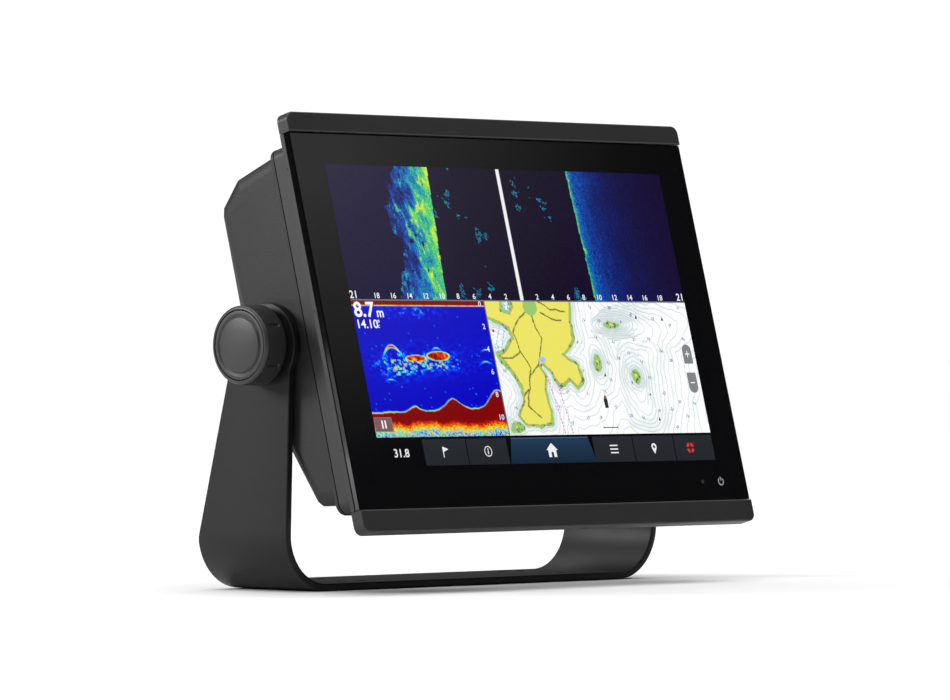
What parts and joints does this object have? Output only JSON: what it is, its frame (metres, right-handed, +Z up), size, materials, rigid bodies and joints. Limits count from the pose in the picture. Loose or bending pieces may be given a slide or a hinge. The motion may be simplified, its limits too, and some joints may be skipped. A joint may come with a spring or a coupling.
{
  "type": "chartplotter display",
  "caption": "Flat marine chartplotter display with a wide glass front, leaning back in a U-shaped bail bracket with a clamping knob at each side.",
  "frame": {"origin": "centre of the underside of the bail bracket's base", "axes": "+X to the viewer's right along the display's width, +Y away from the viewer (the screen faces -Y), +Z up"},
  "size_m": [0.3288, 0.1331, 0.2513],
  "materials": {
    "bracket_paint": "fine-textured matte powder coat",
    "cover_glass": "polished",
    "housing_plastic": "fine matte",
    "trim_plastic": "satin",
    "rear_casting": "textured black powder coat",
    "knob_plastic": "matte",
    "gasket_rubber": "matte",
    "nylon": "satin",
    "stainless": "machined",
    "socket_metal": "black anodised",
    "socket_insulator": "matte",
    "screen": "lit screen",
    "film": "clear film",
    "plated_steel": "zinc plated sheet",
    "circuit_board": "solder mask",
    "copper_winding": "enamelled wire",
    "heat_aluminium": "milled",
    "black_component": "moulded",
    "antenna_ceramic": "plain"
  },
  "bodies": {
    "bail": {"bail_bracket": "bracket_paint"},
    "display": {"backlight_unit": "plated_steel", "board_screws": "stainless", "board_standoffs": "plated_steel", "bottom_trim": "trim_plastic", "buzzer": "black_component", "card_bay_tub": "black_component", "card_door_pin": "stainless", "card_reader": "black_component", "chassis_plate": "plated_steel", "chassis_screws": "stainless", "data_bus_socket": "socket_metal", "display_ribbon": "film", "friction_disc_left": "nylon", "friction_disc_right": "nylon", "front_glass": "cover_glass", "front_housing": "housing_plastic", "glass_gasket": "gasket_rubber", "heat_spreader": "heat_aluminium", "housing_gasket": "gasket_rubber", "housing_screws": "stainless", "input_coil": "copper_winding", "lcd_cell": "screen", "light_sensor": "black_component", "main_board": "circuit_board", "network_socket_left": "socket_metal", "network_socket_right": "socket_metal", "pivot_insert_left": "stainless", "pivot_insert_right": "stainless", "position_antenna": "antenna_ceramic", "power_board": "circuit_board", "power_socket": "socket_metal", "processor_shield": "plated_steel", "rear_housing": "rear_casting", "socket_inserts": "socket_insulator", "socket_nuts": "stainless", "socket_seals": "gasket_rubber", "sonar_board": "circuit_board", "sonar_posts": "plated_steel", "sonar_transformer": "black_component", "thermal_pad": "gasket_rubber", "top_trim": "trim_plastic", "touch_film": "film", "touch_key_board": "circuit_board", "transducer_socket": "socket_metal", "vent_plug": "black_component"},
    "card_door": {"card_door": "housing_plastic", "card_door_seal": "gasket_rubber"},
    "washer_left": {"knob_washer_left": "stainless"},
    "knob_left": {"knob_grip_left": "knob_plastic", "knob_cap_left": "knob_plastic", "knob_stud_left": "stainless"},
    "washer_right": {"knob_washer_right": "stainless"},
    "knob_right": {"knob_grip_right": "knob_plastic", "knob_cap_right": "knob_plastic", "knob_stud_right": "stainless"}
  },
  "joints": [
    {"name": "display_tilt", "type": "hinge", "parent": "bail", "child": "display", "pos_m": [0, -0.0171, 0.1294], "axis": [1, 0, 0], "range_deg": [-45, 26]},
    {"name": "card_door_hinge", "type": "hinge", "parent": "display", "child": "card_door", "pos_m": [0.1248, 0.0159, 0.17647], "axis": [0, -0.2588, -0.9659], "range_deg": [0, 105]},
    {"name": "knob_travel_left", "type": "slide", "parent": "display", "child": "washer_left", "axis": [-1, 0, 0], "range_m": [0, 0.0038]},
    {"name": "knob_turn_left", "type": "hinge", "parent": "washer_left", "child": "knob_left", "pos_m": [-0.155, -0.0171, 0.1294], "axis": [-1, 0, 0], "range_deg": [0, 1080]},
    {"name": "knob_travel_right", "type": "slide", "parent": "display", "child": "washer_right", "axis": [1, 0, 0], "range_m": [0, 0.0038]},
    {"name": "knob_turn_right", "type": "hinge", "parent": "washer_right", "child": "knob_right", "pos_m": [0.155, -0.0171, 0.1294], "axis": [1, 0, 0], "range_deg": [0, 1080]}
  ],
  "couplings": [
    {"joint": "knob_travel_left", "follows": "knob_turn_left", "m_per_rad": 0.00019894},
    {"joint": "knob_travel_right", "follows": "knob_turn_right", "m_per_rad": 0.00019894}
  ]
}
